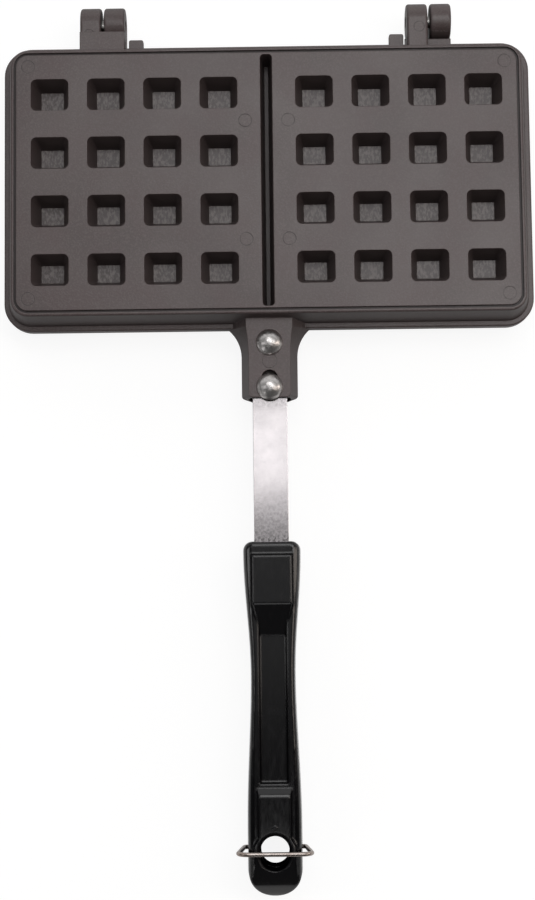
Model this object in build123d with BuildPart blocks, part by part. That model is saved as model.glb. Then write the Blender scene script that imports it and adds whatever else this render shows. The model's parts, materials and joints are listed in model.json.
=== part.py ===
from build123d import *
import os
from math import radians, sqrt, tan

# Stovetop waffle iron: two like cast halves on a two-pin hinge, each with a riveted steel
# strap and a moulded grip, and a wire bail on the lower grip that locks the two together.
#
# A half is modelled in the half frame: origin at the middle of the waffle grid on the
# parting plane, +Y towards the hinge, +Z out through the half's outer face. The upper half
# stands as modelled. The lower one is the same half turned over about the handle's length.
# The part frame has +Z up and its origin at the middle of the iron's footprint, in millimetres.

# ---- Driving dimensions, in millimetres and degrees ----

# waffle grid
columns_per_side = 4
rows = 4
column_pitch = 24.0
row_pitch = 25.2
divider_pitch = 40.7        # between the two inner columns, across the divider
grid_margin_x = 21.3        # from the last column's centre to the flange's edge
grid_margin_y = 24.25       # from the last row's centre to the flange's edge

# recesses in the outer face, which are the backs of the waffle pegs
recess_length = 16.0
recess_width = 13.6
recess_floor_length = 9.7
recess_floor_width = 7.7
recess_depth = 10.7
recess_corner = 2.3
recess_floor_corner = 0.5
peg_wall = 2.4
peg_corner = 2.4

# divider slot in the outer face, which is the back of the rib between the two waffles
slot_width = 5.1
slot_floor_width = 1.8
slot_depth = 12.0
slot_end_land = 0.8         # from the slot's end to the rim groove
slot_end_draft = 1.8
slot_corner = 1.6
slot_floor_corner = 0.5
rib_wall = 2.2

# casting
half_height = 16.0
skin = 3.0
flange_thickness = 3.0
flange_ledge = 2.3          # flange left outside the foot of the side wall
flange_corner = 12.0
flange_edge = 0.7
wall_draft = 10.5
wall_edge = 0.9
rim_land = 5.2              # flat land round the cavity on the parting plane
lip_width = 1.3
groove_width = 1.0
groove_depth = 0.9

# hinge
lug_radius = 7.8
lug_width = 9.0
lug_edge = 1.1
lug_side_gap = 1.2
lug_swing_gap = 0.5
hinge_setback = 10.5        # from the flange's edge to the hinge axis
hinge_station = 70.7        # from the middle of the iron to the middle of a pair of lugs
bridge_height = 8.6
bridge_reach = 5.6          # how far the bridge over a pair of lugs stands out from the flange
filler_height = 3.0
filler_reach = 2.2
block_width = 6.3
block_height = 3.0
block_reach = 4.5
block_gap = 1.3
block_corner = 0.9
parting_gap = 0.2           # between the two halves' lugs and brackets on the parting plane
pin_radius = 2.5
pin_press_gap = 0.02
pin_running_gap = 0.05
pin_end_inset = 0.4

# bracket cast on the front of each half
bracket_width = 24.0
bracket_height = 10.5       # from the parting plane to the top of the bracket
bracket_plate = 3.0
bracket_draft = 17.0
bracket_length = 30.2       # from the flange's edge
bracket_corner = 1.6
bracket_flare = 5.5         # how much each side widens towards the flange, at the parting plane
bracket_flare_length = 12.0
bracket_top_flare = 1.0
channel_width = 16.4
channel_end_gap = 0.4       # between the channel's blind end and the strap's end
channel_draft = 8.0
notch_width = 7.0
notch_start = 18.6          # from the flange's edge to the round end of the rear rivet's notch

# strap
strap_width = 14.6
strap_thickness = 2.5
strap_start = 2.2           # from the flange's edge to the strap's hidden end
strap_in_grip = 38.0
strap_bare = 60.6           # from the end of the bracket to the grip
strap_end_radius = 3.0

# rivets
rivet_radius = 2.5
rivet_hole_gap = 0.05
rivet_head_radius = 5.7
rivet_head_height = 3.4
rivet_tail_radius = 3.9
rivet_tail_height = 1.1
front_rivet_offset = 6.9    # from the flange's edge
rivet_pitch = 18.9

# grip
grip_length = 148.0
grip_clearance = 0.5        # from the grip's flat side to the parting plane
grip_rail_height = 10.2
grip_front_width = 24.4
grip_waist_width = 19.4
grip_end_width = 22.9
grip_waist_from = 46.0      # from the grip's front to its waist
grip_swell_from = 119.0     # from the grip's front to its widest place near the end
grip_front_corner = 4.0
grip_draft = 3.0
grip_edge = 1.6
pad_width = 16.4
pad_height = 12.5
pad_inset = 4.8             # from the grip's front to the raised pad
pad_length = 21.7
pad_draft = 18.0
pad_ramp = 13.0
ramp_crest_radius = 5.0
ramp_root_radius = 8.0
channel_floor_height = 8.2
thumb_channel_width = 10.6
thumb_channel_end = 100.2   # from the grip's front to the end of the thumb channel
end_ramp = 5.0
end_ramp_crest_radius = 3.0
end_ramp_root_radius = 1.0
end_pad_width = 12.8
nose_inset = 1.3            # from the grip's side to the raised nose round the hanging hole
strap_fit = 0.1             # room round the strap inside the grip

# hanging hole through each grip
hang_hole_length = 14.4
hang_hole_width = 12.0
hang_hole_inset = 18.9      # from the grip's rounded end to the hole's middle
hang_hole_sink = 1.4

# screw that holds a grip on its strap
screw_radius = 2.0
screw_head_radius = 3.7
screw_sink = 0.2            # from the grip's flat side to the screw's head
screw_length = 8.4
screw_gap = 0.05
screw_offset = 25.0         # from the grip's front
screw_slot_width = 1.0
screw_slot_depth = 0.9
screw_slot_angle = 35.0
screw_clearance_radius = 2.3
screw_well_margin = 0.6

# bail
wire_radius = 0.95
bail_depth = 7.7            # from the parting plane down to the bail's pivot
bail_top_width = 31.4
bail_foot_width = 26.0
bail_top_bend = 4.0
bail_foot_bend = 1.6
bail_gap = 0.3              # between the wire and the rounded end that it swings over
bail_stub = 3.2             # how far a stub reaches into the lower grip
bail_bore_extra = 0.3

# ---- Sizes and places that follow ----

group_x = (divider_pitch + (columns_per_side - 1) * column_pitch) / 2
flange_length = divider_pitch + 2 * (columns_per_side - 1) * column_pitch + 2 * grid_margin_x
flange_width = (rows - 1) * row_pitch + 2 * grid_margin_y
flange_y = flange_width / 2
wall_height = half_height - flange_thickness
wall_inset = wall_height * tan(radians(wall_draft))
foot_length = flange_length - 2 * flange_ledge
foot_width = flange_width - 2 * flange_ledge
foot_corner = flange_corner - flange_ledge
face_length = foot_length - 2 * wall_inset
face_width = foot_width - 2 * wall_inset
face_corner = foot_corner - wall_inset
cavity_length = flange_length - 2 * rim_land
cavity_width = flange_width - 2 * rim_land
cavity_corner = flange_corner - rim_land / 2
cavity_depth = half_height - skin
slot_length = face_width - 2 * (lip_width + groove_width + slot_end_land)

hinge_y = flange_y + hinge_setback
outer_lug_x = hinge_station + (lug_width + lug_side_gap) / 2
inner_lug_x = hinge_station - (lug_width + lug_side_gap) / 2
pair_outside_x = outer_lug_x + lug_width / 2
pair_inside_x = inner_lug_x - lug_width / 2
core_y = cavity_width / 2 - rim_land        # cast-on parts start here, inside the cavity

bracket_end_y = -flange_y - bracket_length
strap_top = bracket_height - bracket_plate
strap_bottom = strap_top - strap_thickness
front_rivet_y = -flange_y - front_rivet_offset
rear_rivet_y = front_rivet_y - rivet_pitch
strap_start_y = -flange_y - strap_start

grip_front_y = bracket_end_y - strap_bare
grip_end_y = grip_front_y - grip_length
grip_top = grip_clearance + pad_height
strap_end_y = grip_front_y - strap_in_grip
screw_y = grip_front_y - screw_offset
hang_hole_y = grip_end_y + hang_hole_inset
grip_swing = bail_depth + grip_top          # radius of the grips' end about the bail's pivot
bail_y = grip_end_y + sqrt(grip_swing**2 - (bail_depth + grip_clearance)**2)
bail_swing = grip_swing + bail_gap + wire_radius

# place of the half frame in the part frame
back_reach = hinge_y + lug_radius
plate_y = (-grip_end_y - back_reach) / 2
upper_seat = Location((0, plate_y, half_height))
lower_seat = Location((0, plate_y, half_height), (0, 180, 0))


# ---- Tools shared by the sub-parts ----


def drafted_block(top_length, top_width, top_corner, end_length, end_width, end_corner, depth):
    """A block with rounded upright edges that narrows from z = 0 down to z = -depth."""
    with BuildPart() as block:
        with BuildSketch(Plane.XY):
            RectangleRounded(top_length, top_width, top_corner)
        with BuildSketch(Plane.XY.offset(-depth)):
            RectangleRounded(end_length, end_width, end_corner)
        loft(ruled=True)
    return block.part


def box_between(x_low, x_high, y_low, y_high, z_low, z_high):
    """A plain block between two corners."""
    with BuildPart() as block:
        with BuildSketch(Plane.XY.offset(z_low)):
            with Locations(((x_low + x_high) / 2, (y_low + y_high) / 2)):
                Rectangle(x_high - x_low, y_high - y_low)
        extrude(amount=z_high - z_low)
    return block.part


def hinge_bar(x_low, x_high, radius):
    """A round bar on the hinge axis."""
    with BuildPart() as bar:
        with BuildSketch(Plane.YZ.offset(x_low)):
            with Locations((hinge_y, 0)):
                Circle(radius)
        extrude(amount=x_high - x_low)
    return bar.part


def write_piece(half_piece, seat, name):
    """Move a piece from the half frame to its seat, label it and write its STEP file."""
    with BuildPart() as piece:
        add(half_piece.moved(seat))
    piece.part.label = name
    export_step(piece.part, f"parts/{name}.step")


# ---- Cast half ----


def recess_tool():
    """Hollow back of one waffle peg, open at z = 0."""
    return drafted_block(
        recess_length, recess_width, recess_corner,
        recess_floor_length, recess_floor_width, recess_floor_corner, recess_depth,
    )


def peg_tool():
    """Outside of one waffle peg, from z = 0 on the outer face to the peg's tip."""
    slope_x = (recess_length - recess_floor_length) / 2 / recess_depth
    slope_y = (recess_width - recess_floor_width) / 2 / recess_depth
    top_length = recess_length + 2 * peg_wall * sqrt(1 + slope_x**2)
    top_width = recess_width + 2 * peg_wall * sqrt(1 + slope_y**2)
    depth = recess_depth + peg_wall
    return drafted_block(
        top_length, top_width, recess_corner + peg_wall,
        top_length - 2 * slope_x * depth, top_width - 2 * slope_y * depth, peg_corner, depth,
    )


def rib_tool():
    """Outside of the rib between the waffles, from z = 0 on the outer face to its crest."""
    slope = (slot_width - slot_floor_width) / 2 / slot_depth
    top_width = slot_width + 2 * rib_wall
    depth = slot_depth + rib_wall
    with BuildPart() as rib:
        with BuildSketch(Plane.XY):
            Rectangle(top_width, cavity_width)
        with BuildSketch(Plane.XY.offset(-depth)):
            Rectangle(top_width - 2 * slope * depth, cavity_width)
        loft()
    return rib.part


def slot_tool():
    """Long narrow hollow behind the rib, open at z = 0."""
    return drafted_block(
        slot_width, slot_length, slot_corner,
        slot_floor_width, slot_length - 2 * slot_end_draft, slot_floor_corner, slot_depth,
    )


def bracket_plan(half_width, flare):
    """Outline of the bracket at one height, which widens by the flare on each side."""
    flare_radius = (bracket_flare_length**2 + flare**2) / (2 * flare)
    with BuildSketch(mode=Mode.PRIVATE) as plan:
        with BuildLine():
            side = RadiusArc(
                (half_width, -flange_y - bracket_flare_length),
                (half_width + flare, -flange_y), flare_radius,
            )
            Line((half_width, bracket_end_y), side @ 0)
            Line(side @ 1, (half_width + flare, -core_y))
            Line((half_width + flare, -core_y), (0, -core_y))
            Line((0, bracket_end_y), (half_width, bracket_end_y))
            mirror(about=Plane.YZ)
        make_face()
    return plan.sketch


def bracket_block():
    """Drafted block from the flange to the bracket's end, with flared roots."""
    top_half_width = bracket_width / 2 - (bracket_height - parting_gap) * tan(radians(bracket_draft))
    with BuildPart() as bracket:
        with BuildSketch(Plane.XY.offset(parting_gap)):
            add(bracket_plan(bracket_width / 2, bracket_flare))
        with BuildSketch(Plane.XY.offset(bracket_height)):
            add(bracket_plan(top_half_width, bracket_top_flare))
        loft(ruled=True)
        end_edges = bracket.faces().sort_by(Axis.Y)[0].edges().sort_by(Axis.X)
        fillet([end_edges[0], end_edges[-1]], bracket_corner)
    return bracket.part


def lug(lug_x):
    """Hinge lug: flat on the outer side, round about the hinge axis, with its rims rounded."""
    with BuildPart() as knuckle:
        with BuildSketch(Plane.YZ.offset(lug_x - lug_width / 2)):
            with Locations(((core_y + hinge_y) / 2, (parting_gap + lug_radius) / 2)):
                Rectangle(hinge_y - core_y, lug_radius - parting_gap)
            with Locations((hinge_y, 0)):
                Circle(lug_radius)
        extrude(amount=lug_width)
        rims = knuckle.edges().filter_by(GeomType.CIRCLE)
        fillet(rims, lug_edge)
    return knuckle.part


os.makedirs("parts", exist_ok=True)

with BuildPart() as cast_half:
    # flange on the parting plane and drafted side wall up to the outer face
    with BuildSketch(Plane.XY):
        RectangleRounded(flange_length, flange_width, flange_corner)
    extrude(amount=flange_thickness)
    fillet(cast_half.edges().group_by(Axis.Z)[-1], flange_edge)
    with BuildSketch(Plane.XY.offset(flange_thickness)):
        RectangleRounded(foot_length, foot_width, foot_corner)
    extrude(amount=wall_height, taper=wall_draft)
    fillet(cast_half.edges().group_by(Axis.Z)[-1], wall_edge)

    add(bracket_block())

    # hinge roots, hollowed for the swing of the other half's lugs
    add(box_between(-pair_outside_x, -pair_inside_x, core_y, flange_y + bridge_reach,
                    parting_gap, bridge_height))
    add(box_between(pair_inside_x, pair_outside_x, core_y, flange_y + filler_reach,
                    parting_gap, filler_height))
    block_x = pair_inside_x - block_gap
    with BuildSketch(Plane.XY.offset(parting_gap)):
        with Locations((block_x - block_width / 2, flange_y)):
            RectangleRounded(block_width, 2 * block_reach, block_corner)
    extrude(amount=block_height - parting_gap)
    swing_radius = lug_radius + lug_swing_gap
    bridge_hollow_x = -inner_lug_x - lug_width / 2 - lug_side_gap
    filler_hollow_x = outer_lug_x - lug_width / 2 - lug_side_gap
    add(hinge_bar(bridge_hollow_x, -pair_inside_x + lug_side_gap, swing_radius), mode=Mode.SUBTRACT)
    add(hinge_bar(filler_hollow_x, pair_outside_x + lug_side_gap, swing_radius), mode=Mode.SUBTRACT)

    # lugs: the outer one on the left, the inner one on the right
    for lug_x in (-outer_lug_x, inner_lug_x):
        add(lug(lug_x))

    # cavity, then the pegs and the rib that stand in it
    with BuildSketch(Plane.XY):
        RectangleRounded(cavity_length, cavity_width, cavity_corner)
    extrude(amount=cavity_depth, taper=wall_draft, mode=Mode.SUBTRACT)
    columns = GridLocations(column_pitch, row_pitch, columns_per_side, rows)
    grid = [
        Location((side * group_x, 0, half_height)) * place
        for side in (-1, 1) for place in columns
    ]
    peg = peg_tool()
    add([peg.moved(place) for place in grid])
    add(rib_tool().moved(Location((0, 0, half_height))))

    # recesses behind the pegs, slot behind the rib and groove round the outer face
    recess = recess_tool()
    add([recess.moved(place) for place in grid], mode=Mode.SUBTRACT)
    add(slot_tool().moved(Location((0, 0, half_height))), mode=Mode.SUBTRACT)
    with BuildSketch(Plane.XY.offset(half_height)):
        groove_inset = lip_width + groove_width
        RectangleRounded(
            face_length - 2 * lip_width, face_width - 2 * lip_width, face_corner - lip_width
        )
        RectangleRounded(
            face_length - 2 * groove_inset, face_width - 2 * groove_inset,
            face_corner - groove_inset, mode=Mode.SUBTRACT,
        )
    extrude(amount=-groove_depth, mode=Mode.SUBTRACT)

    # channel under the bracket's top plate, which is open at the end and the parting plane
    channel_spread = strap_top * tan(radians(channel_draft))
    channel_y = strap_start_y + channel_end_gap + channel_spread
    channel_length = channel_y - bracket_end_y + bracket_height
    with BuildSketch():
        with Locations((0, channel_y - channel_length / 2)):
            Rectangle(channel_width + 2 * channel_spread, channel_length)
    extrude(amount=strap_top, taper=channel_draft, mode=Mode.SUBTRACT)
    with BuildSketch(Plane.XY.offset(strap_top)):
        with Locations((0, front_rivet_y)):
            Circle(rivet_radius + rivet_hole_gap)
        notch_y = -flange_y - notch_start - notch_width / 2
        with Locations((0, notch_y)):
            Circle(notch_width / 2)
        with Locations((0, (notch_y + bracket_end_y) / 2)):
            Rectangle(notch_width, notch_y - bracket_end_y)
    extrude(amount=2 * bracket_plate, mode=Mode.SUBTRACT)

    # pin holes: a press fit in the outer lug, a running fit in the inner one
    add(
        hinge_bar(-outer_lug_x - lug_width, -outer_lug_x + lug_width / 2 + 0.5 * lug_side_gap,
                  pin_radius + pin_press_gap),
        mode=Mode.SUBTRACT,
    )
    add(
        hinge_bar(inner_lug_x - lug_width / 2, inner_lug_x + lug_width,
                  pin_radius + pin_running_gap),
        mode=Mode.SUBTRACT,
    )

# ---- Hinge pin, in the outer lug of its half and the inner lug of the other ----

with BuildPart() as hinge_pin:
    pin_length = pair_outside_x - pair_inside_x - 2 * pin_end_inset
    with BuildSketch(Plane.YZ.offset(-pair_outside_x + pin_end_inset)):
        with Locations((hinge_y, 0)):
            Circle(pin_radius)
    extrude(amount=pin_length)

# ---- Strap ----

with BuildPart() as strap:
    with BuildSketch(Plane.XY.offset(strap_bottom)):
        with Locations((0, (strap_start_y + strap_end_y) / 2)):
            RectangleRounded(strap_width, strap_start_y - strap_end_y, strap_end_radius)
        with Locations((0, front_rivet_y), (0, rear_rivet_y)):
            Circle(rivet_radius + rivet_hole_gap, mode=Mode.SUBTRACT)
        with Locations((0, screw_y)):
            Circle(screw_radius + screw_gap, mode=Mode.SUBTRACT)
    extrude(amount=strap_thickness)

# ---- Rivet: domed head on the bracket's top plate, flat tail under the strap ----


def rivet_at(rivet_y):
    dome_radius = (rivet_head_radius**2 + rivet_head_height**2) / (2 * rivet_head_height)
    with BuildPart() as rivet:
        with BuildSketch(Plane((0, rivet_y, bracket_height), (1, 0, 0), (0, -1, 0))):
            with BuildLine():
                dome = RadiusArc((rivet_head_radius, 0), (0, rivet_head_height), -dome_radius)
                Polyline(
                    dome @ 1,
                    (0, strap_bottom - rivet_tail_height - bracket_height),
                    (rivet_tail_radius, strap_bottom - rivet_tail_height - bracket_height),
                    (rivet_tail_radius, strap_bottom - bracket_height),
                    (rivet_radius, strap_bottom - bracket_height),
                    (rivet_radius, 0),
                    dome @ 0,
                )
            make_face()
        revolve(axis=Axis((0, rivet_y, 0), (0, 0, 1)))
    return rivet.part


front_rivet = rivet_at(front_rivet_y)
rear_rivet = rivet_at(rear_rivet_y)

# ---- Grip ----

with BuildPart() as grip:
    # outline, widest at the front and the rounded end, waisted between
    with BuildSketch(Plane.XY.offset(grip_clearance)):
        with BuildLine():
            waist_y = grip_front_y - grip_waist_from
            swell_y = grip_front_y - grip_swell_from
            end_radius = grip_end_width / 2
            swell = (end_radius, swell_y)
            front = (grip_front_width / 2, grip_front_y - grip_front_corner)
            corner_x = grip_front_width / 2 - grip_front_corner
            RadiusArc((0, grip_end_y), (end_radius, grip_end_y + end_radius), -end_radius)
            Line((end_radius, grip_end_y + end_radius), swell)
            Spline(
                swell, (grip_waist_width / 2, waist_y), front, tangents=((0, 1), (0, 1))
            )
            RadiusArc(front, (corner_x, grip_front_y), -grip_front_corner)
            Line((corner_x, grip_front_y), (0, grip_front_y))
            mirror(about=Plane.YZ)
        make_face()
    extrude(amount=grip_rail_height, taper=grip_draft)
    fillet(grip.edges().group_by(Axis.Z)[-1], grip_edge)

    # thumb channel between the side rails
    pad_front_y = grip_front_y - pad_inset
    pad_rear_y = pad_front_y - pad_length
    ramp_end_y = pad_rear_y - pad_ramp
    channel_end_y = grip_front_y - thumb_channel_end
    channel_floor = grip_clearance + channel_floor_height
    with BuildSketch(Plane.XY.offset(channel_floor)):
        with Locations((0, (pad_rear_y + channel_end_y) / 2)):
            Rectangle(thumb_channel_width, pad_rear_y - channel_end_y)
    extrude(amount=pad_height, taper=-pad_draft, mode=Mode.SUBTRACT)
    grip_blank = grip.part

with BuildPart() as grip_pads:
    # front pad, which ramps down into the thumb channel
    pad_spread = 2 * (pad_height - channel_floor_height) * tan(radians(pad_draft))
    with BuildSketch(Plane.XY.offset(channel_floor)):
        with BuildLine():
            half_pad = (pad_width + pad_spread) / 2
            Polyline(
                (0, ramp_end_y), (thumb_channel_width / 2, ramp_end_y),
                (half_pad, pad_rear_y), (half_pad, pad_front_y), (0, pad_front_y),
            )
            mirror(about=Plane.YZ)
        make_face()
    extrude(amount=pad_height - channel_floor_height, taper=pad_draft)
    # end pad: a neck that widens to a nose round the hanging hole
    nose_radius = grip_end_width / 2 - nose_inset
    nose_end_y = grip_end_y + grip_end_width / 2
    nose_front_y = hang_hole_y
    with BuildSketch(Plane.XY.offset(channel_floor)):
        with Locations((0, (channel_end_y + nose_end_y) / 2)):
            Rectangle(end_pad_width + pad_spread, channel_end_y - nose_end_y)
        with Locations((0, (nose_front_y + nose_end_y) / 2)):
            SlotCenterToCenter(nose_front_y - nose_end_y, 2 * nose_radius, rotation=90)
    extrude(amount=pad_height - channel_floor_height, taper=pad_draft)
    # ramps at both ends of the thumb channel
    with BuildSketch(Plane.YZ):
        with BuildLine():
            crest_y = channel_end_y - end_ramp
            profile = FilletPolyline(
                (pad_front_y, grip_top), (pad_rear_y, grip_top), (ramp_end_y, channel_floor),
                (channel_end_y, channel_floor), (crest_y, grip_top), (grip_end_y, grip_top),
                radius=[
                    ramp_crest_radius, ramp_root_radius,
                    end_ramp_root_radius, end_ramp_crest_radius,
                ],
            )
            Polyline(
                profile @ 1, (grip_end_y, 2 * grip_top), (pad_front_y, 2 * grip_top), profile @ 0
            )
        make_face()
    extrude(amount=grip_front_width, both=True, mode=Mode.SUBTRACT)

with BuildPart() as upper_grip:
    add(grip_blank)
    add(grip_pads.part)

    # hanging hole, sunk at its mouth
    hole_centres = hang_hole_length - hang_hole_width
    with BuildSketch(Plane.XY.offset(grip_top)):
        with Locations((0, hang_hole_y)):
            SlotCenterToCenter(hole_centres, hang_hole_width, rotation=90)
    extrude(amount=-grip_top, mode=Mode.SUBTRACT)
    with BuildSketch(Plane.XY.offset(grip_top)):
        with Locations((0, hang_hole_y)):
            SlotCenterToCenter(
                hole_centres, hang_hole_width + 2 * hang_hole_sink, rotation=90
            )
    extrude(amount=-hang_hole_sink, taper=45, mode=Mode.SUBTRACT)

    # end rounded about the bail's pivot, so that the wire swings over it
    with BuildSketch(Plane.YZ):
        with Locations((bail_y - grip_swing, -bail_depth + grip_swing)):
            Rectangle(2 * grip_swing, 2 * grip_swing)
        with Locations((bail_y, -bail_depth)):
            Circle(grip_swing, mode=Mode.SUBTRACT)
    extrude(amount=grip_front_width, both=True, mode=Mode.SUBTRACT)

    # pocket for the strap, and the screw's hole from the flat side
    pocket_half = strap_width / 2 + strap_fit
    add(
        box_between(-pocket_half, pocket_half, strap_end_y - strap_fit,
                    grip_front_y + grip_front_corner, strap_bottom - strap_fit,
                    strap_top + strap_fit),
        mode=Mode.SUBTRACT,
    )
    with Locations(Plane((0, screw_y, grip_clearance), z_dir=(0, 0, -1))):
        CounterSinkHole(
            screw_clearance_radius, screw_head_radius + screw_sink + screw_gap,
            depth=screw_sink + screw_length + screw_well_margin, counter_sink_angle=90,
        )

with BuildPart() as lower_grip:
    add(upper_grip.part)
    # bores in both sides for the bail's stubs
    grip_side_x = grip_end_width / 2 - (bail_depth - grip_clearance) * tan(radians(grip_draft))
    stub_tip_x = grip_side_x - bail_stub
    for side in (-1, 1):
        with BuildSketch(Plane.YZ.offset(side * (stub_tip_x - bail_bore_extra))):
            with Locations((bail_y, bail_depth)):
                Circle(wire_radius + pin_running_gap)
        extrude(amount=side * grip_end_width, mode=Mode.SUBTRACT)

# ---- Grip screw ----

with BuildPart() as grip_screw:
    with BuildSketch(Plane((0, screw_y, grip_clearance + screw_sink), (1, 0, 0), (0, -1, 0))):
        with BuildLine():
            Polyline(
                (0, 0), (screw_head_radius, 0), (screw_radius, screw_head_radius - screw_radius),
                (screw_radius, screw_length), (0, screw_length), close=True,
            )
        make_face()
    revolve(axis=Axis((0, screw_y, 0), (0, 0, 1)))
    with BuildSketch(Plane.XY.offset(grip_clearance + screw_sink)):
        with Locations((0, screw_y)):
            Rectangle(3 * screw_head_radius, screw_slot_width, rotation=screw_slot_angle)
    extrude(amount=screw_slot_depth, mode=Mode.SUBTRACT)

# ---- Bail, standing over the upper grip with its stubs in the lower one ----

with BuildPart() as bail:
    bail_plane = Plane((0, bail_y, 0), (1, 0, 0), (0, -1, 0))
    foot_x = bail_foot_width / 2
    bail_top = bail_swing - bail_depth
    with BuildLine(bail_plane) as bail_line:
        FilletPolyline(
            (stub_tip_x, -bail_depth), (foot_x, -bail_depth), (bail_top_width / 2, bail_top),
            (-bail_top_width / 2, bail_top), (-foot_x, -bail_depth), (-stub_tip_x, -bail_depth),
            radius=[bail_foot_bend, bail_top_bend, bail_top_bend, bail_foot_bend],
        )
    with BuildSketch(Plane((stub_tip_x, bail_y, -bail_depth), z_dir=(1, 0, 0))):
        Circle(wire_radius)
    sweep()

# ---- Pieces in their places ----

write_piece(cast_half.part, upper_seat, "upper_plate")
write_piece(cast_half.part, lower_seat, "lower_plate")
write_piece(strap.part, upper_seat, "upper_strap")
write_piece(strap.part, lower_seat, "lower_strap")
write_piece(front_rivet, upper_seat, "upper_front_rivet")
write_piece(front_rivet, lower_seat, "lower_front_rivet")
write_piece(rear_rivet, upper_seat, "upper_rear_rivet")
write_piece(rear_rivet, lower_seat, "lower_rear_rivet")
write_piece(upper_grip.part, upper_seat, "upper_grip")
write_piece(lower_grip.part, lower_seat, "lower_grip")
write_piece(grip_screw.part, upper_seat, "upper_grip_screw")
write_piece(grip_screw.part, lower_seat, "lower_grip_screw")
write_piece(hinge_pin.part, upper_seat, "left_hinge_pin")
write_piece(hinge_pin.part, lower_seat, "right_hinge_pin")
write_piece(bail.part, upper_seat, "locking_bail")
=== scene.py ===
"""Looks of the stovetop waffle iron: finishes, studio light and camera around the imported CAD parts.

Lengths are in metres in the part's own frame: +Z up, +Y along the handle towards the hinge, the
origin at the middle of the iron's footprint. Both halves are one casting, so their shared finish
measures height from the parting plane and repeats itself on either side of the middle.
"""

import json
import math

import bpy
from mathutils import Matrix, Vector


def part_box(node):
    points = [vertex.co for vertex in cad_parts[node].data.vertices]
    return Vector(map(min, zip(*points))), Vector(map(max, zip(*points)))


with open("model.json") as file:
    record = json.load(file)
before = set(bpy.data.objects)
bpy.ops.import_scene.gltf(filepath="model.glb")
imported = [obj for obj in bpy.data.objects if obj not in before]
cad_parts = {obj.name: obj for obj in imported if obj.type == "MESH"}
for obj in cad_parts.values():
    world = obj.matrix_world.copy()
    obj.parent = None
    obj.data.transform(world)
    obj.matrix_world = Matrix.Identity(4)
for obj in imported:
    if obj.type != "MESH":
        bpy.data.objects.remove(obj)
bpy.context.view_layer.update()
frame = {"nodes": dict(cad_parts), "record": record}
nodes = frame["nodes"]

MM = 0.001

# ---- Places taken from the frame ----

mounts = {mount["name"]: mount for mount in frame["record"]["mounts"]}
plate_middle_y, outer_face_z = mounts["upper_heating_face"]["pos_m"][1:]
parting_z = outer_face_z / 2
hole_y = mounts["hanging_hole"]["pos_m"][1]
grip_low, grip_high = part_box("upper_grip")
bracket_end_y = grip_high.y + 60.6 * MM
pip_y = grip_low.y + 29.5 * MM

# ---- Node helpers ----


def add_node(tree, kind, inputs=None, **settings):
    """Add a node. An input is a value, or the socket that feeds it."""
    node = tree.nodes.new(kind)
    for name, value in settings.items():
        setattr(node, name, value)
    for name, value in (inputs or {}).items():
        if isinstance(value, bpy.types.NodeSocket):
            tree.links.new(value, node.inputs[name])
        else:
            node.inputs[name].default_value = value
    return node


def math_node(tree, operation, first, second=0.0, third=0.0):
    """The result of a Math node."""
    node = add_node(
        tree, "ShaderNodeMath", {0: first, 1: second, 2: third}, operation=operation
    )
    return node.outputs[0]


def place_in_part(tree):
    """The place in the part's frame as a vector and as X, Y, Z; it moves with its body."""
    coordinates = add_node(tree, "ShaderNodeTexCoord")
    split = add_node(tree, "ShaderNodeSeparateXYZ", {0: coordinates.outputs["Object"]})
    return coordinates.outputs["Object"], split.outputs


def stretched(tree, vector, scale):
    """The vector with each axis scaled, to draw a texture out along one of them."""
    node = add_node(tree, "ShaderNodeMapping", {"Vector": vector, "Scale": scale})
    return node.outputs[0]


def noise(tree, vector, size, detail=3.0, roughness=0.55):
    """Noise from about 0 to 1 whose features are about this size, in metres."""
    node = add_node(
        tree, "ShaderNodeTexNoise",
        {"Vector": vector, "Scale": 1 / size, "Detail": detail, "Roughness": roughness},
    )
    return node.outputs["Fac"]


def remap(tree, value, low, high, to_low, to_high, smooth=False):
    """Map a value from one range to another, clamped."""
    node = add_node(
        tree, "ShaderNodeMapRange",
        {"Value": value, "From Min": low, "From Max": high, "To Min": to_low, "To Max": to_high},
        interpolation_type="SMOOTHSTEP" if smooth else "LINEAR",
    )
    return node.outputs[0]


def mix_color(tree, factor, first, second):
    """The mix of two colours, each a socket or an (r, g, b)."""
    colors = [c if isinstance(c, bpy.types.NodeSocket) else (*c, 1.0) for c in (first, second)]
    node = add_node(
        tree, "ShaderNodeMix", {0: factor, 6: colors[0], 7: colors[1]}, data_type="RGBA"
    )
    return node.outputs[2]


def bump(tree, height, distance, normal=None):
    """A bump normal from a height of 0 to 1 that stands for a distance in metres."""
    inputs = {"Height": height, "Distance": distance, "Strength": 1.0}
    if normal is not None:
        inputs["Normal"] = normal
    return add_node(tree, "ShaderNodeBump", inputs).outputs[0]


def near(tree, value, middle, reach):
    """1 where the value is within reach of the middle, 0 elsewhere."""
    return math_node(tree, "COMPARE", value, middle, reach)


def between(tree, value, low, high):
    """1 where the value lies in a range, 0 elsewhere."""
    return near(tree, value, (low + high) / 2, (high - low) / 2)


def distance_from(tree, x, y, middle_x, middle_y):
    """The distance from an upright axis through a point."""
    away_x = math_node(tree, "SUBTRACT", x, middle_x)
    away_y = math_node(tree, "SUBTRACT", y, middle_y)
    square_y = math_node(tree, "MULTIPLY", away_y, away_y)
    return math_node(tree, "SQRT", math_node(tree, "MULTIPLY_ADD", away_x, away_x, square_y))


def height_from_parting(tree, z):
    """The height above or below the parting plane, the same for both halves."""
    return math_node(tree, "ABSOLUTE", math_node(tree, "SUBTRACT", z, parting_z))


def soft_edges(tree, radius):
    """A normal that rounds the sharp edges of a casting or moulding."""
    return add_node(tree, "ShaderNodeBevel", {"Radius": radius}, samples=8).outputs[0]


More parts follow.
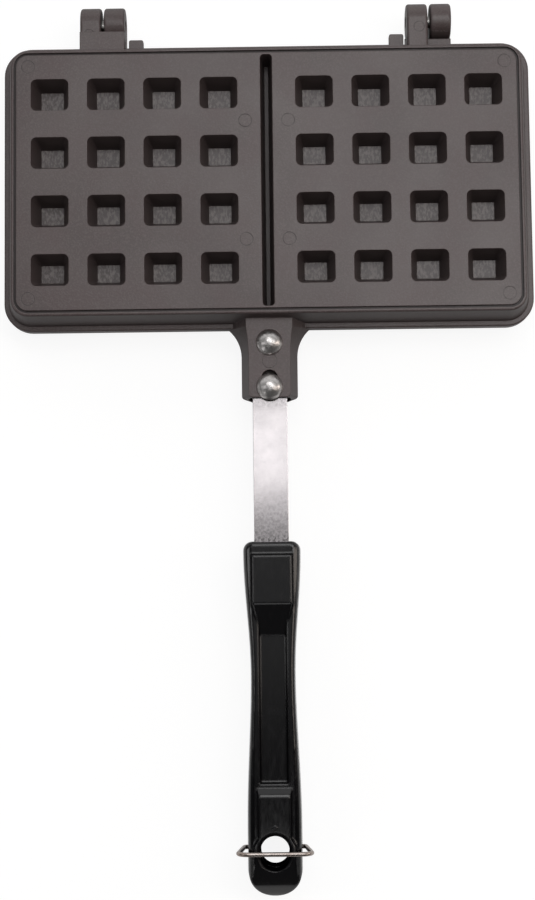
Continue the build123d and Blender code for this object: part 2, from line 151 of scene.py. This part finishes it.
def steep_share(tree):
    """0 where the part's surface lies flat, rising to 1 on walls along Z."""
    normal = add_node(tree, "ShaderNodeTexCoord").outputs["Normal"]
    upright = add_node(tree, "ShaderNodeSeparateXYZ", {0: normal}).outputs[2]
    return remap(
        tree, math_node(tree, "ABSOLUTE", upright), flat_normal_z, steep_normal_z, 0.0, 1.0,
        smooth=True,
    )


def seen_directly(tree):
    """The Light Path node, and 1 for rays from the camera, straight or through glass."""
    path = add_node(tree, "ShaderNodeLightPath")
    seen = math_node(
        tree, "MAXIMUM", path.outputs["Is Camera Ray"], path.outputs["Is Transmission Ray"]
    )
    return path, seen


def new_finish(name, **uniform):
    """A material and its Principled shader, with the values that are the same all over."""
    material = bpy.data.materials.new(name)
    material.use_nodes = True
    shader = material.node_tree.nodes["Principled BSDF"]
    for socket, value in uniform.items():
        shader.inputs[socket.replace("_", " ")].default_value = value
    return material, material.node_tree, shader


def feed(tree, shader, **sockets):
    """Link sockets to the shader's inputs."""
    for name, socket in sockets.items():
        tree.links.new(socket, shader.inputs[name.replace("_", " ")])


# ---- Finishes ----

# the normal's Z at which a surface stops counting as flat, and from which it counts as steep
flat_normal_z = 0.92
steep_normal_z = 0.50

coating_color = (0.0770, 0.0572, 0.0562)
coating_dark = (0.0630, 0.0465, 0.0460)
coating_pale = (0.1000, 0.0780, 0.0760)
coating_warm = (0.0820, 0.0540, 0.0550)
coating_groove_shade_and_marks = (0.0240, 0.0190, 0.0190)    # painted shade in the groove, and the pin marks' own dark rings
coating_painted_shade = (0.0480, 0.0370, 0.0360)    # painted shade on steep walls, recess floors, the slot and the groove
floor_pale = (0.155, 0.130, 0.126)

# heights are measured from the parting plane
recess_floor_height = 5.3 * MM
groove_floor_height = 15.1 * MM
slot_half_width = 2.6 * MM
slot_heights = (2 * MM, 10 * MM)

# witness marks of the ejector pins: x and y from the middle of the plate, on either side of it,
# then radius, and lowest and highest place above the parting plane
ejector_marks = (
    (101.6 * MM, 50.1 * MM, 2.75 * MM, 15.0 * MM, 17.0 * MM),
    (101.6 * MM, -50.1 * MM, 2.75 * MM, 15.0 * MM, 17.0 * MM),
    (9.1 * MM, 25.6 * MM, 2.75 * MM, 15.0 * MM, 17.0 * MM),
    (9.1 * MM, -25.6 * MM, 2.75 * MM, 15.0 * MM, 17.0 * MM),
    (0.0, -76.8 * MM, 3.1 * MM, 10.0 * MM, 11.0 * MM),
    (66.4 * MM, 68.4 * MM, 2.2 * MM, 7.6 * MM, 8.0 * MM),
    (76.4 * MM, 66.8 * MM, 2.2 * MM, 7.6 * MM, 8.0 * MM),
)
ejector_mark_line = 0.29 * MM

# beyond this distance from the middle a grip's face falls away, by this many 1/m times the square
crown_start = 7.6 * MM
crown_bend = 72.0
pip_radius = 1.2 * MM
pip_lowest = 12 * MM
hole_reach = 9 * MM    # from the hole's axis to beyond its wall

strap_bright = (0.52, 0.49, 0.50)
strap_cloudy = (0.475, 0.45, 0.46)
# stain blotches, and painted dark near the grip and the front rivet
strap_stain_and_painted_dark = (0.16, 0.15, 0.15)
strap_shaded = (0.035, 0.031, 0.030)    # inside the bracket
rivet_bright = (0.54, 0.52, 0.51)
rivet_scuffed = (0.30, 0.285, 0.28)
grip_black = (0.0022, 0.0020, 0.0026)
grip_scuffed = (0.008, 0.007, 0.008)
wire_plated = (0.43, 0.385, 0.36)
wire_browned = (0.33, 0.27, 0.24)
hardware_bright = (0.52, 0.51, 0.49)
hardware_dull = (0.36, 0.35, 0.34)


def ejector_pin_marks(tree, place, across, along, height):
    """1 on the rings that the ejector pins left, broken here and there, and 0 elsewhere."""
    marks = None
    for mark_x, mark_y, radius, low, high in ejector_marks:
        distance = distance_from(tree, across, along, mark_x, mark_y)
        off_ring = math_node(tree, "ABSOLUTE", math_node(tree, "SUBTRACT", distance, radius))
        ring = remap(tree, off_ring, 0.0, ejector_mark_line, 1.0, 0.0, smooth=True)
        ring = math_node(tree, "MULTIPLY", ring, between(tree, height, low, high))
        marks = ring if marks is None else math_node(tree, "MAXIMUM", marks, ring)
    patchy = remap(tree, noise(tree, place, 2.6 * MM, 1.0), 0.35, 0.6, 0.5, 1.0)
    return math_node(tree, "MULTIPLY", marks, patchy)


def coating_finish():
    """Non-stick coating sprayed on cast aluminium: satin, faintly mottled, with pin marks, and
    painted shade on steep walls, the recess floors, the slot and the groove.
    """
    material, tree, shader = new_finish("nonstick_coating", Metallic=0.0, IOR=1.52)
    place, (x, y, z) = place_in_part(tree)
    across = math_node(tree, "ABSOLUTE", x)
    along = math_node(tree, "SUBTRACT", y, plate_middle_y)
    height = height_from_parting(tree, z)

    cloud = noise(tree, place, 34 * MM, 4.0)
    grain = noise(tree, place, 0.75 * MM, 2.0)
    color = mix_color(
        tree, remap(tree, cloud, 0.35, 0.65, 0.0, 1.0, smooth=True), coating_color, coating_dark
    )
    warmth = noise(tree, place, 17 * MM, 2.0)
    color = mix_color(tree, remap(tree, warmth, 0.42, 0.66, 0.0, 0.6), color, coating_warm)
    color = mix_color(tree, remap(tree, grain, 0.45, 0.70, 0.0, 0.8), color, coating_pale)

    # the recesses' floors get painted shade at half strength, and pale streaks
    on_floor = near(tree, height, recess_floor_height, 0.3 * MM)
    color = mix_color(tree, math_node(tree, "MULTIPLY", on_floor, 0.5), color, coating_painted_shade)
    streaks = noise(tree, stretched(tree, place, (1.0, 0.5, 1.0)), 0.9 * MM, 3.0)
    mottle = math_node(tree, "MULTIPLY", on_floor, remap(tree, streaks, 0.44, 0.60, 0.0, 1.0))
    color = mix_color(tree, mottle, color, floor_pale)

    # painted shade on steep walls, in the slot and in the groove, darkest in the groove
    steep = steep_share(tree)
    in_slot = math_node(tree, "LESS_THAN", across, slot_half_width)
    in_slot = math_node(tree, "MULTIPLY", in_slot, between(tree, height, *slot_heights))
    in_groove = near(tree, height, groove_floor_height, 0.2 * MM)
    in_groove = math_node(tree, "MULTIPLY", in_groove, math_node(tree, "SUBTRACT", 1.0, steep))
    shade_share = math_node(tree, "MAXIMUM", steep, math_node(tree, "MAXIMUM", in_slot, in_groove))
    color = mix_color(tree, math_node(tree, "MULTIPLY", shade_share, 0.8), color, coating_painted_shade)
    # painted shade, deepest in the groove
    color = mix_color(tree, math_node(tree, "MULTIPLY", in_groove, 0.7), color, coating_groove_shade_and_marks)

    marks = ejector_pin_marks(tree, place, across, along, height)
    color = mix_color(tree, math_node(tree, "MULTIPLY", marks, 0.8), color, coating_groove_shade_and_marks)

    rough = remap(tree, cloud, 0.3, 0.7, 0.33, 0.38)
    rough = math_node(tree, "MULTIPLY_ADD", grain, 0.06, rough)
    rough = math_node(tree, "MULTIPLY_ADD", steep, 0.08, rough)
    shine = remap(tree, shade_share, 0.0, 1.0, 0.5, 0.28)
    rounded = soft_edges(tree, 0.45 * MM)
    peel = bump(tree, noise(tree, place, 1.4 * MM, 2.0), 0.018 * MM, rounded)
    fine = bump(tree, grain, 0.045 * MM, peel)
    sunk = bump(tree, math_node(tree, "SUBTRACT", 1.0, marks), 0.05 * MM, fine)
    feed(
        tree, shader, Base_Color=color, Roughness=rough, Normal=sunk, Specular_IOR_Level=shine
    )
    return material


def strap_finish():
    """Rolled strip steel: bright and satin, with stain blotches; painted shade inside the bracket and
    at the front rivet, and a painted dark reflection of the grip near it.
    """
    material, tree, shader = new_finish("strap_steel", Metallic=1.0)
    place, (_, y, _) = place_in_part(tree)
    lines = noise(tree, stretched(tree, place, (1.0, 0.03, 1.0)), 0.45 * MM, 3.0)
    blotches = noise(tree, place, 1.0 * MM, 4.0, 0.65)
    cloud = noise(tree, place, 9 * MM, 2.0)
    # painted dark reflection of the grip, strongest beside it and fading along the strap
    grip_reflection_close = remap(tree, y, grip_high.y, grip_high.y + 5 * MM, 1.0, 0.0, smooth=True)
    grip_reflection_fade = remap(tree, y, grip_high.y, grip_high.y + 26 * MM, 0.55, 0.0)
    # painted shadow of the front rivet at the bracket's end
    rivet_shadow = remap(tree, y, bracket_end_y - 6 * MM, bracket_end_y, 0.0, 0.5)
    in_bracket = remap(tree, y, bracket_end_y, bracket_end_y + 1.5 * MM, 0.0, 1.0, smooth=True)
    color = mix_color(
        tree, remap(tree, cloud, 0.3, 0.7, 0.0, 1.0), strap_bright, strap_cloudy
    )
    # painted dark from both, broken into blotches, plus stain blotches all along
    painted_dark_mask = math_node(tree, "MAXIMUM", grip_reflection_close, math_node(tree, "MAXIMUM", grip_reflection_fade, rivet_shadow))
    stain_and_painted_dark = math_node(tree, "MULTIPLY", painted_dark_mask, remap(tree, blotches, 0.45, 0.60, 0.0, 0.9))
    stain_and_painted_dark = math_node(tree, "MAXIMUM", stain_and_painted_dark, remap(tree, blotches, 0.58, 0.75, 0.0, 0.22))
    color = mix_color(tree, stain_and_painted_dark, color, strap_stain_and_painted_dark)
    # painted shade where the strap lies inside the bracket
    color = mix_color(tree, in_bracket, color, strap_shaded)
    rough = remap(tree, cloud, 0.3, 0.7, 0.11, 0.15)
    rough = math_node(tree, "MULTIPLY_ADD", in_bracket, 0.35, rough)
    rolled = bump(tree, lines, 0.0025 * MM, soft_edges(tree, 0.3 * MM))
    pitted = bump(tree, blotches, 0.0015 * MM, rolled)
    feed(tree, shader, Base_Color=color, Roughness=rough, Normal=pitted)
    return material


def rivet_finish():
    """Polished aluminium rivet, a little dented by the set."""
    material, tree, shader = new_finish("rivet_aluminium", Metallic=1.0)
    place, _ = place_in_part(tree)
    scuffs = noise(tree, place, 0.9 * MM, 4.0, 0.65)
    dents = noise(tree, place, 2.2 * MM, 1.0)
    color = mix_color(
        tree, remap(tree, scuffs, 0.5, 0.8, 0.0, 0.7), rivet_bright, rivet_scuffed
    )
    rough = remap(tree, scuffs, 0.35, 0.75, 0.28, 0.44)
    dented = bump(tree, dents, 0.18 * MM)
    scuffed = bump(tree, scuffs, 0.010 * MM, dented)
    feed(tree, shader, Base_Color=color, Roughness=rough, Normal=scuffed)
    return material


def grip_finish():
    """Black phenolic moulding: glossy, with faint flow waves, scuffs and an ejector pin's pip."""
    material, tree, shader = new_finish("grip_plastic", Metallic=0.0, IOR=1.49)
    place, (x, y, z) = place_in_part(tree)
    waves = noise(tree, stretched(tree, place, (1.0, 0.4, 1.0)), 6 * MM, 2.0)
    scuffs = noise(tree, stretched(tree, place, (1.0, 0.3, 1.0)), 1.6 * MM, 5.0, 0.7)
    color = mix_color(
        tree, remap(tree, scuffs, 0.5, 0.8, 0.0, 0.6), grip_black, grip_scuffed
    )

    # walls shine less than the faces, and the hole's wall is matt
    steep = steep_share(tree)
    at_hole = math_node(
        tree, "LESS_THAN", distance_from(tree, x, y, 0.0, hole_y), hole_reach
    )
    in_hole = math_node(tree, "MULTIPLY", steep, at_hole)
    rough = remap(tree, scuffs, 0.35, 0.75, 0.09, 0.17)
    rough = math_node(tree, "MULTIPLY_ADD", in_hole, 0.5, rough)
    shine = remap(tree, steep, 0.5, 1.0, 0.5, 0.15)
    shine = math_node(tree, "MULTIPLY", shine, math_node(tree, "SUBTRACT", 1.0, in_hole))

    outward = math_node(tree, "SUBTRACT", math_node(tree, "ABSOLUTE", x), crown_start)
    outward = math_node(tree, "MAXIMUM", outward, 0.0)
    drop = math_node(tree, "MULTIPLY", outward, math_node(tree, "MULTIPLY", outward, -crown_bend))
    crowned = bump(tree, drop, 1.0, soft_edges(tree, 1.3 * MM))
    waved = bump(tree, waves, 0.03 * MM, crowned)
    scuffed = bump(tree, scuffs, 0.004 * MM, waved)

    on_outer_face = math_node(tree, "GREATER_THAN", height_from_parting(tree, z), pip_lowest)
    pip = remap(
        tree, distance_from(tree, x, y, 0.0, pip_y), 0.6 * pip_radius, pip_radius, 1.0, 0.0,
        smooth=True,
    )
    pip = math_node(tree, "MULTIPLY", pip, on_outer_face)
    pipped = bump(tree, pip, 0.25 * MM, scuffed)
    feed(
        tree, shader, Base_Color=color, Roughness=rough, Normal=pipped, Specular_IOR_Level=shine
    )
    return material


def wire_finish():
    """Drawn and plated steel wire, warm where the plating has browned with heat."""
    material, tree, shader = new_finish("wire_steel", Metallic=1.0)
    place, _ = place_in_part(tree)
    heat = noise(tree, place, 7 * MM, 2.0)
    scuffs = noise(tree, place, 0.6 * MM, 3.0)
    color = mix_color(
        tree, remap(tree, heat, 0.35, 0.65, 0.0, 1.0), wire_plated, wire_browned
    )
    rough = remap(tree, scuffs, 0.3, 0.7, 0.18, 0.34)
    drawn = bump(tree, scuffs, 0.008 * MM)
    feed(tree, shader, Base_Color=color, Roughness=rough, Normal=drawn)
    return material


def hardware_finish():
    """Zinc-plated steel of the screws and hinge pins: turned, slightly dulled."""
    material, tree, shader = new_finish("hardware_steel", Metallic=1.0)
    place, _ = place_in_part(tree)
    dull = noise(tree, place, 1.2 * MM, 4.0)
    color = mix_color(
        tree, remap(tree, dull, 0.4, 0.7, 0.0, 1.0), hardware_bright, hardware_dull
    )
    rough = remap(tree, dull, 0.3, 0.7, 0.28, 0.45)
    feed(tree, shader, Base_Color=color, Roughness=rough, Normal=bump(tree, dull, 0.01 * MM))
    return material


def dress(finish, *names):
    """Give CAD nodes their finish."""
    for name in names:
        mesh = nodes[name].data
        mesh.materials.clear()
        mesh.materials.append(finish)


# ---- Studio ----

world_zenith = 0.43
world_front = 0.09    # towards -Y, where the grip ends
world_back = 0.95
world_aside = 0.3    # share of the ceiling's level that is left towards the sides

floor_half_size = 6.0
floor_color = (0.86, 0.86, 0.86, 1.0)
floor_glow = 1.11
floor_glow_seen = 0.80    # share of the glow where the camera sees the floor
floor_glow_mirrored = 0.30    # and where the iron mirrors it

white = (1.0, 1.0, 1.0)
warm = (1.0, 0.90, 0.82)
lamp_aim = (0.0, 0.03, 0.02)
lamp_distance = 1.2
# name, degrees that it leans from straight up towards +X and +Y, two sizes, level and colour; the
# level is the share of a plain full exposure that it gives a surface that faces it
lamps = (
    ("key", 10.0, 16.8, 1.10, 0.43, 0.345, white),
    ("card", 0.0, 3.3, 0.90, 0.115, 0.036, white),
    ("right_panel", 70.0, 6.0, 0.32, 0.32, 0.085, warm),
    ("left_panel", -58.0, -58.0, 0.22, 0.22, 0.040, white),
    ("right_strip", 44.0, -6.0, 0.24, 0.70, 0.110, warm),
    ("left_strip", -46.0, -6.0, 0.20, 0.70, 0.075, white),
    ("front_strip", 0.0, -21.0, 0.45, 0.11, 0.022, white),
)


def softbox(name, toward_x, toward_y, size_x, size_y, level, color):
    """A soft rectangle of light that faces the iron."""
    lean = Vector((math.tan(math.radians(toward_x)), math.tan(math.radians(toward_y)), 1.0))
    data = bpy.data.lights.new(name, "AREA")
    data.shape = "RECTANGLE"
    data.size = size_x
    data.size_y = size_y
    data.energy = level * (math.pi * lamp_distance) ** 2
    data.color = color
    light = bpy.data.objects.new(name, data)
    light.location = Vector(lamp_aim) + lamp_distance * lean.normalized()
    light.rotation_euler = lean.to_track_quat("Z", "Y").to_euler()
    bpy.context.scene.collection.objects.link(light)


def studio_world():
    """A plain grey room: dark in front of the grip, pale behind the hinge, mid grey overhead.

    The ceiling darkens towards the sides. Seen directly, the room is white."""
    world = bpy.data.worlds.new("studio")
    world.use_nodes = True
    tree = world.node_tree
    direction = add_node(tree, "ShaderNodeTexCoord").outputs["Generated"]
    across, back, up = add_node(tree, "ShaderNodeSeparateXYZ", {0: direction}).outputs
    around = remap(tree, back, 0.0, 0.8, world_front, world_back, smooth=True)
    ceiling = remap(tree, back, -0.11, -0.02, world_front, world_zenith, smooth=True)
    aside = math_node(tree, "ABSOLUTE", across)
    kept = remap(tree, aside, 0.10, 0.28, 1.0, world_aside, smooth=True)
    ceiling = math_node(tree, "MULTIPLY", ceiling, kept)
    height = remap(tree, up, 0.45, 0.85, 0.0, 1.0, smooth=True)
    level = add_node(tree, "ShaderNodeMix", {0: height, 2: around, 3: ceiling}).outputs[0]
    _, seen = seen_directly(tree)
    level = math_node(tree, "MAXIMUM", level, seen)
    background = tree.nodes["Background"]
    background.inputs["Color"].default_value = (*white, 1.0)
    tree.links.new(level, background.inputs["Strength"])
    bpy.context.scene.world = world


def studio_floor(half_size):
    """A pale floor that looks white to the camera and keeps the iron's shadow."""
    mesh = bpy.data.meshes.new("floor")
    corners = [(x * half_size, y * half_size, 0.0) for x, y in ((-1, -1), (1, -1), (1, 1), (-1, 1))]
    mesh.from_pydata(corners, [], [(0, 1, 2, 3)])
    floor = bpy.data.objects.new("floor", mesh)
    bpy.context.scene.collection.objects.link(floor)
    material, tree, shader = new_finish(
        "floor_paper", Base_Color=floor_color, Roughness=0.9, Specular_IOR_Level=0.0
    )
    glow = add_node(tree, "ShaderNodeEmission", {"Color": (*white, 1.0), "Strength": floor_glow})
    path, seen = seen_directly(tree)
    mirrored = math_node(tree, "MULTIPLY", path.outputs["Is Glossy Ray"], floor_glow_mirrored)
    share = math_node(
        tree, "MAXIMUM", math_node(tree, "MULTIPLY", seen, floor_glow_seen), mirrored
    )
    mixed = add_node(
        tree, "ShaderNodeMixShader", {0: share, 1: shader.outputs[0], 2: glow.outputs[0]}
    )
    tree.links.new(mixed.outputs[0], tree.nodes["Material Output"].inputs["Surface"])
    mesh.materials.append(material)


# ---- Camera, at the photograph's viewing angle ----

camera_place = (4.33 * MM, plate_middle_y - 174.47 * MM, 734.95 * MM)
camera_turn = (4.815, 0.507, -0.666)    # degrees about X, Y and Z from looking straight down
camera_lens = 67.5
sensor_width = 36.0


def add_camera():
    """The scene's camera."""
    data = bpy.data.cameras.new("camera")
    data.sensor_width = sensor_width
    data.lens = camera_lens
    data.clip_start = 0.01
    camera = bpy.data.objects.new("camera", data)
    camera.location = camera_place
    camera.rotation_euler = [math.radians(angle) for angle in camera_turn]
    bpy.context.scene.collection.objects.link(camera)
    bpy.context.scene.camera = camera


# ---- Scene ----

coating = coating_finish()
strap_steel = strap_finish()
rivet_aluminium = rivet_finish()
grip_plastic = grip_finish()
wire_steel = wire_finish()
hardware_steel = hardware_finish()
for half in ("upper", "lower"):
    dress(coating, f"{half}_plate")
    dress(strap_steel, f"{half}_strap")
    dress(rivet_aluminium, f"{half}_front_rivet", f"{half}_rear_rivet")
    dress(grip_plastic, f"{half}_grip")
    dress(hardware_steel, f"{half}_grip_screw")
dress(hardware_steel, "left_hinge_pin", "right_hinge_pin")
dress(wire_steel, "locking_bail")

studio_world()
studio_floor(floor_half_size)
for lamp in lamps:
    softbox(*lamp)
add_camera()

bpy.context.scene.view_settings.view_transform = "Standard"
